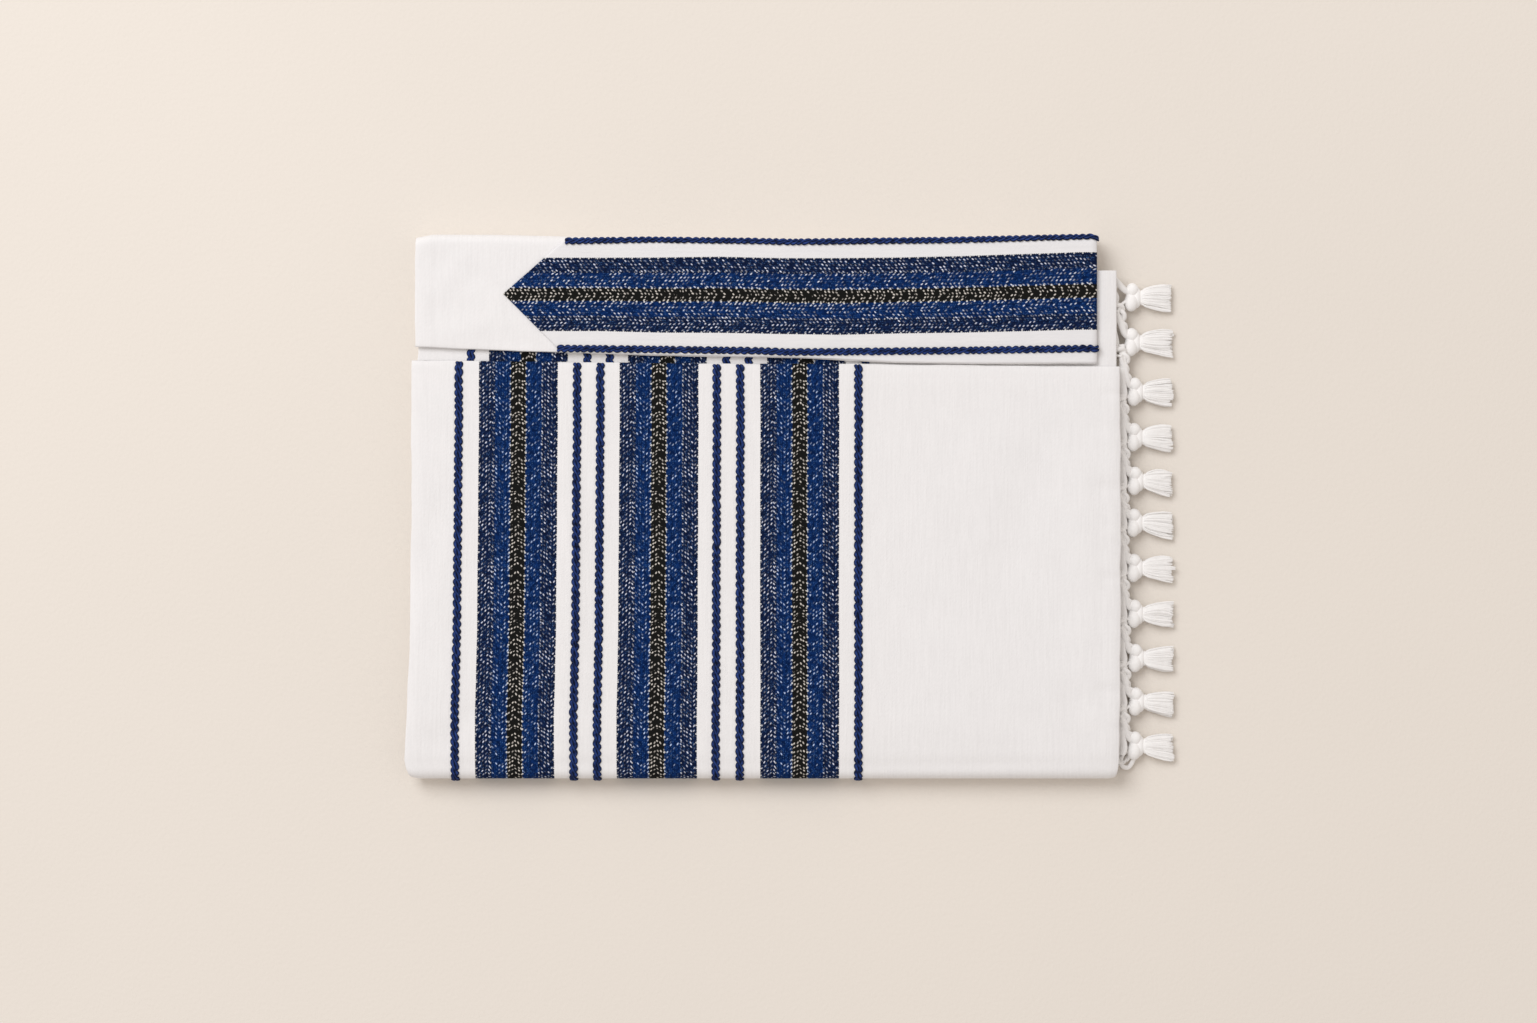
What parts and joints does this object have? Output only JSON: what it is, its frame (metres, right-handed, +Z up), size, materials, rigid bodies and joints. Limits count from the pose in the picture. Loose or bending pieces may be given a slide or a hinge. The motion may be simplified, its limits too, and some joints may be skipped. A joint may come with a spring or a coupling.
{
  "type": "tallit prayer shawl",
  "caption": "White woven prayer shawl with blue striped bands, a pointed striped neckband and knotted tassels, folded flat.",
  "frame": {"origin": "under the middle of the folded shawl with its fringe, on the surface that it lies on", "axes": "+X along the front fold towards the fringe, +Y towards the back fold that carries the neckband, +Z up"},
  "size_m": [0.3902, 0.2779, 0.0181],
  "materials": {
    "shawl_cloth": "soft matt wool and cotton weave, white with navy bands and raised braids",
    "neckband_cloth": "matt woven strip, greyish white with a navy and black band and two raised braids",
    "fringe_yarn": "soft matt twisted cotton yarn, off-white"
  },
  "bodies": {
    "root": {"front_panel": "shawl_cloth", "collar_flap": "shawl_cloth", "inner_fold": "shawl_cloth", "hidden_layers": "shawl_cloth", "under_panel": "shawl_cloth", "neckband": "neckband_cloth", "tassel_01": "fringe_yarn", "tassel_02": "fringe_yarn", "tassel_03": "fringe_yarn", "tassel_04": "fringe_yarn", "tassel_05": "fringe_yarn", "tassel_06": "fringe_yarn", "tassel_07": "fringe_yarn", "tassel_08": "fringe_yarn", "tassel_09": "fringe_yarn", "tassel_10": "fringe_yarn", "tassel_11": "fringe_yarn"}
  },
  "joints": []
}
